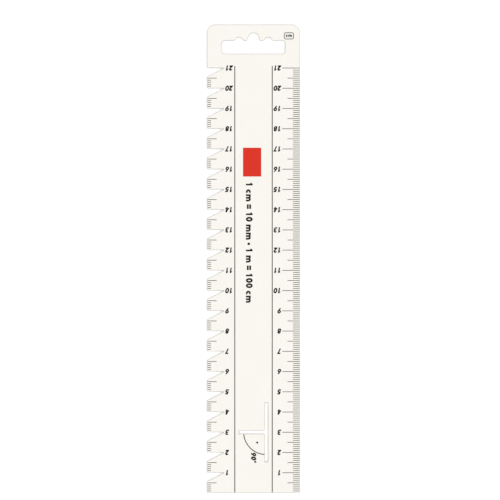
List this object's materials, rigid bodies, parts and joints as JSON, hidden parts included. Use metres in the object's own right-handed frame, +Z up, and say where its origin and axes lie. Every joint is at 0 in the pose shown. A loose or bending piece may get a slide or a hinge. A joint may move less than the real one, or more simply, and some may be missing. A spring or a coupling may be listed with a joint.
{
  "type": "sewing gauge",
  "caption": "Flat plastic hand gauge for sewing: one edge finely ruled, one notched at each centimetre, with a hang slot and a right-angle marking slot.",
  "frame": {"origin": "middle of the plate's underside", "axes": "+Z up through the printed face, +Y along the scale from the zero edge to the hang slot, +X towards the finely ruled edge"},
  "size_m": [0.046, 0.2314, 0.001],
  "materials": {
    "plate_plastic": "satin",
    "black_ink": "satin",
    "red_ink": "satin"
  },
  "bodies": {
    "root": {"gauge_plate": "plate_plastic", "centimetre_marks": "black_ink", "half_centimetre_marks": "black_ink", "millimetre_marks": "black_ink", "notch_half_centimetre_marks": "black_ink", "notch_millimetre_marks": "black_ink", "left_margin_line": "black_ink", "right_margin_line": "black_ink", "right_angle_arc": "black_ink", "right_angle_dot": "black_ink", "colour_patch": "red_ink"}
  },
  "joints": []
}
